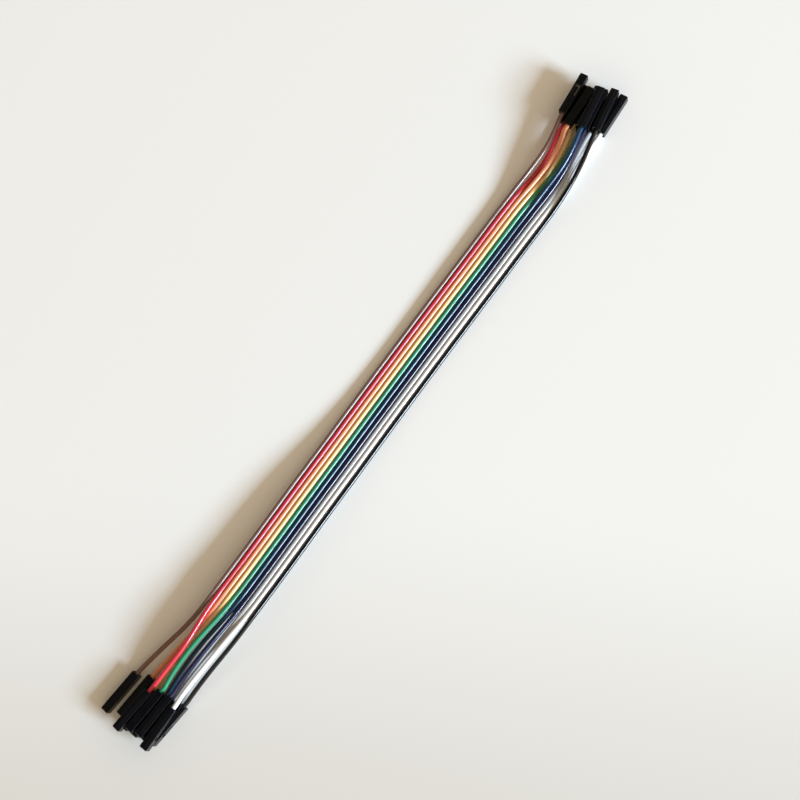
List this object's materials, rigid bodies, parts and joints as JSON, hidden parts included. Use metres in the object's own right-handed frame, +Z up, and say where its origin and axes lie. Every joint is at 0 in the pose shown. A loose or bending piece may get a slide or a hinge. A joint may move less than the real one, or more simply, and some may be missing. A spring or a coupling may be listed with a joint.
{
  "type": "jumper wire ribbon",
  "caption": "Flat rainbow ribbon of bonded jumper wires, split loose at both ends, with a black single-way socket housing on each wire end.",
  "frame": {"origin": "middle of the housings' box, on the surface that they lie on", "axes": "+X along the ribbon from end a to end b, +Y across it towards the brown wire, +Z up"},
  "size_m": [0.2398, 0.0215, 0.0081],
  "materials": {
    "insulation_brown": "glossy soft PVC, brown",
    "insulation_red": "glossy soft PVC, red",
    "insulation_orange": "glossy soft PVC, orange",
    "insulation_yellow": "glossy soft PVC, yellow",
    "insulation_green": "glossy soft PVC, green",
    "insulation_blue": "glossy soft PVC, blue",
    "insulation_purple": "glossy soft PVC, purple",
    "insulation_grey": "glossy soft PVC, grey",
    "insulation_white": "glossy soft PVC, white",
    "insulation_black": "glossy soft PVC, black",
    "housing": "satin black moulded nylon",
    "terminal": "bright tin plate on phosphor bronze"
  },
  "bodies": {
    "root": {"wire_brown": "insulation_brown", "wire_red": "insulation_red", "wire_orange": "insulation_orange", "wire_yellow": "insulation_yellow", "wire_green": "insulation_green", "wire_blue": "insulation_blue", "wire_purple": "insulation_purple", "wire_grey": "insulation_grey", "wire_white": "insulation_white", "wire_black": "insulation_black", "housing_brown_a": "housing", "terminal_brown_a": "terminal", "housing_red_a": "housing", "terminal_red_a": "terminal", "housing_orange_a": "housing", "terminal_orange_a": "terminal", "housing_yellow_a": "housing", "terminal_yellow_a": "terminal", "housing_green_a": "housing", "terminal_green_a": "terminal", "housing_blue_a": "housing", "terminal_blue_a": "terminal", "housing_purple_a": "housing", "terminal_purple_a": "terminal", "housing_grey_a": "housing", "terminal_grey_a": "terminal", "housing_white_a": "housing", "terminal_white_a": "terminal", "housing_black_a": "housing", "terminal_black_a": "terminal", "housing_brown_b": "housing", "terminal_brown_b": "terminal", "housing_red_b": "housing", "terminal_red_b": "terminal", "housing_orange_b": "housing", "terminal_orange_b": "terminal", "housing_yellow_b": "housing", "terminal_yellow_b": "terminal", "housing_green_b": "housing", "terminal_green_b": "terminal", "housing_blue_b": "housing", "terminal_blue_b": "terminal", "housing_purple_b": "housing", "terminal_purple_b": "terminal", "housing_grey_b": "housing", "terminal_grey_b": "terminal", "housing_white_b": "housing", "terminal_white_b": "terminal", "housing_black_b": "housing", "terminal_black_b": "terminal"}
  },
  "joints": []
}
